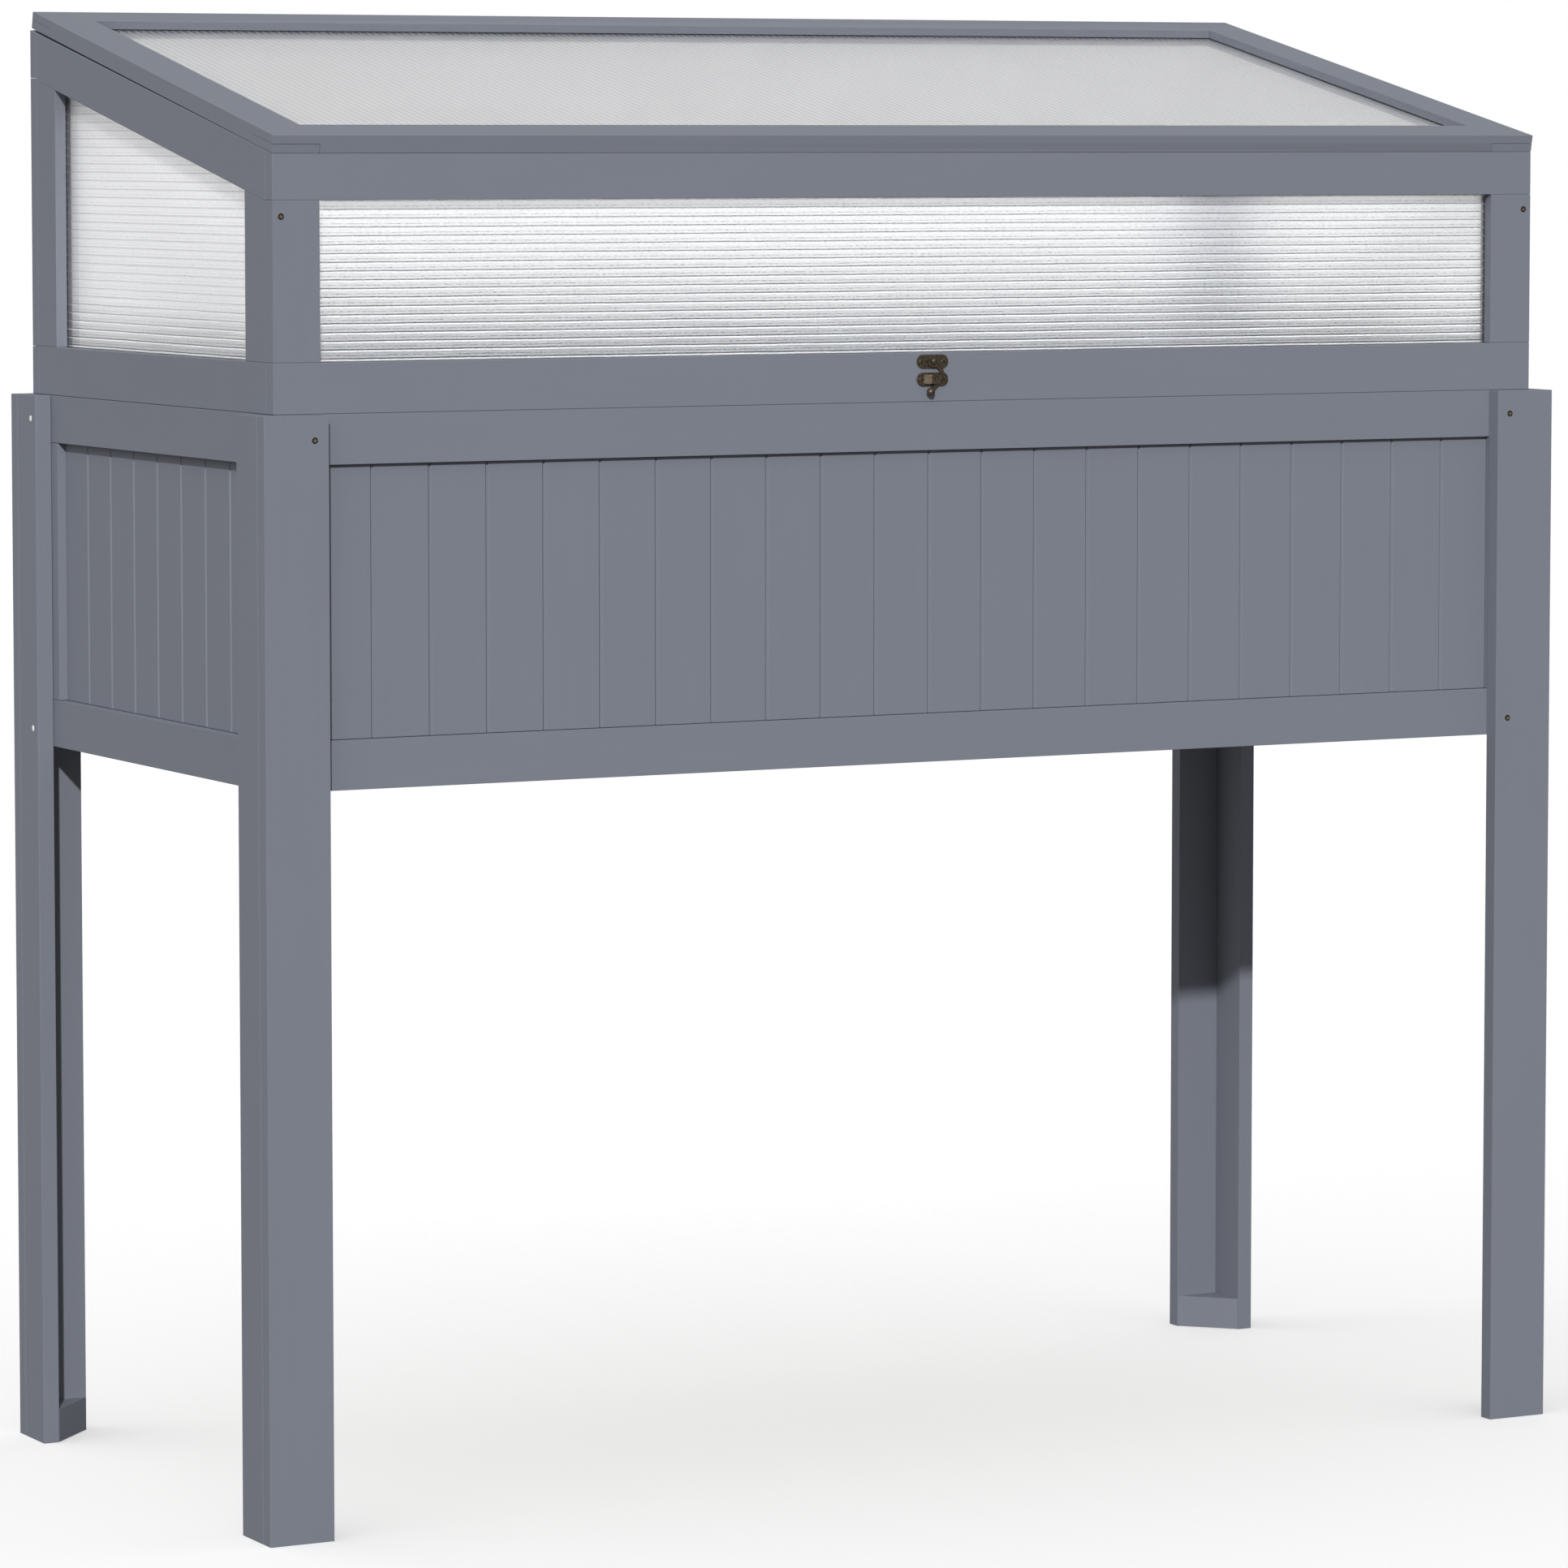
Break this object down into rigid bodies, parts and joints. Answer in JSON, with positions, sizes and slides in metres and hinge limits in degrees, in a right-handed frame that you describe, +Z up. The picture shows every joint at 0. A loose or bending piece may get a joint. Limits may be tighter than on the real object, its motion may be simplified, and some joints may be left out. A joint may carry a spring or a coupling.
{
  "type": "cold frame",
  "caption": "Raised planter box on legs with a hinged greenhouse cover of twin-wall sheets, a sloping hinged lid and a swing-hook latch.",
  "frame": {"origin": "on the floor at the middle of the four feet", "axes": "+Z up, +X to the right along the front, and the front faces -Y"},
  "size_m": [1.2, 0.536, 1.2095],
  "materials": {
    "painted_timber": "matt grey wood paint, fine brush and grain texture",
    "twin_wall_sheet": "clear to milky 4 mm twin-wall polycarbonate with flutes",
    "antique_bronze": "dark antique bronze plating, satin",
    "floor_panel": "unpainted plywood",
    "zinc_plated_steel": "zinc plated, satin"
  },
  "bodies": {
    "planter": {"front_left_leg_face_board": "painted_timber", "front_left_leg_side_board": "painted_timber", "front_right_leg_face_board": "painted_timber", "front_right_leg_side_board": "painted_timber", "rear_left_leg_face_board": "painted_timber", "rear_left_leg_side_board": "painted_timber", "rear_right_leg_face_board": "painted_timber", "rear_right_leg_side_board": "painted_timber", "planter_front_top_rail": "painted_timber", "planter_front_bottom_rail": "painted_timber", "planter_front_boards": "painted_timber", "planter_rear_top_rail": "painted_timber", "planter_rear_bottom_rail": "painted_timber", "planter_rear_boards": "painted_timber", "planter_left_top_rail": "painted_timber", "planter_left_bottom_rail": "painted_timber", "planter_left_front_stile": "painted_timber", "planter_left_rear_stile": "painted_timber", "planter_left_boards": "painted_timber", "planter_right_top_rail": "painted_timber", "planter_right_bottom_rail": "painted_timber", "planter_right_front_stile": "painted_timber", "planter_right_rear_stile": "painted_timber", "planter_right_boards": "painted_timber", "floor_front_panel": "floor_panel", "floor_rear_panel": "floor_panel", "cover_hinge_left_planter_leaf": "zinc_plated_steel", "cover_hinge_right_planter_leaf": "zinc_plated_steel"},
    "cover": {"cover_front_bottom_rail": "painted_timber", "cover_front_top_rail": "painted_timber", "cover_front_left_post": "painted_timber", "cover_front_right_post": "painted_timber", "cover_rear_bottom_rail": "painted_timber", "cover_rear_top_rail": "painted_timber", "cover_left_bottom_rail": "painted_timber", "cover_left_sloping_rail": "painted_timber", "cover_left_front_post": "painted_timber", "cover_left_rear_post": "painted_timber", "cover_right_bottom_rail": "painted_timber", "cover_right_sloping_rail": "painted_timber", "cover_right_front_post": "painted_timber", "cover_right_rear_post": "painted_timber", "cover_front_sheet": "twin_wall_sheet", "cover_rear_sheet": "twin_wall_sheet", "cover_left_sheet": "twin_wall_sheet", "cover_right_sheet": "twin_wall_sheet", "cover_hinge_left_cover_leaf": "zinc_plated_steel", "cover_hinge_right_cover_leaf": "zinc_plated_steel", "lid_hinge_left_frame_leaf": "zinc_plated_steel", "lid_hinge_right_frame_leaf": "zinc_plated_steel", "latch_hook_plate": "antique_bronze", "latch_catch_plate": "antique_bronze"},
    "lid": {"lid_front_rail": "painted_timber", "lid_rear_rail": "painted_timber", "lid_left_stile": "painted_timber", "lid_right_stile": "painted_timber", "lid_sheet": "twin_wall_sheet", "lid_hinge_left_lid_leaf": "zinc_plated_steel", "lid_hinge_right_lid_leaf": "zinc_plated_steel"},
    "hook": {"latch_hook": "antique_bronze"}
  },
  "joints": [
    {"name": "cover_hinge", "type": "hinge", "parent": "planter", "child": "cover", "pos_m": [0, 0.2568, 0.88875], "axis": [-1, 0, 0], "range_deg": [0, 90]},
    {"name": "lid_hinge", "type": "hinge", "parent": "cover", "child": "lid", "pos_m": [0, 0.2568, 1.19622], "axis": [-1, 0, 0], "range_deg": [0, 100]},
    {"name": "latch_swing", "type": "hinge", "parent": "cover", "child": "hook", "pos_m": [0, -0.256, 0.9217], "axis": [0, -1, 0], "range_deg": [0, 100]}
  ]
}
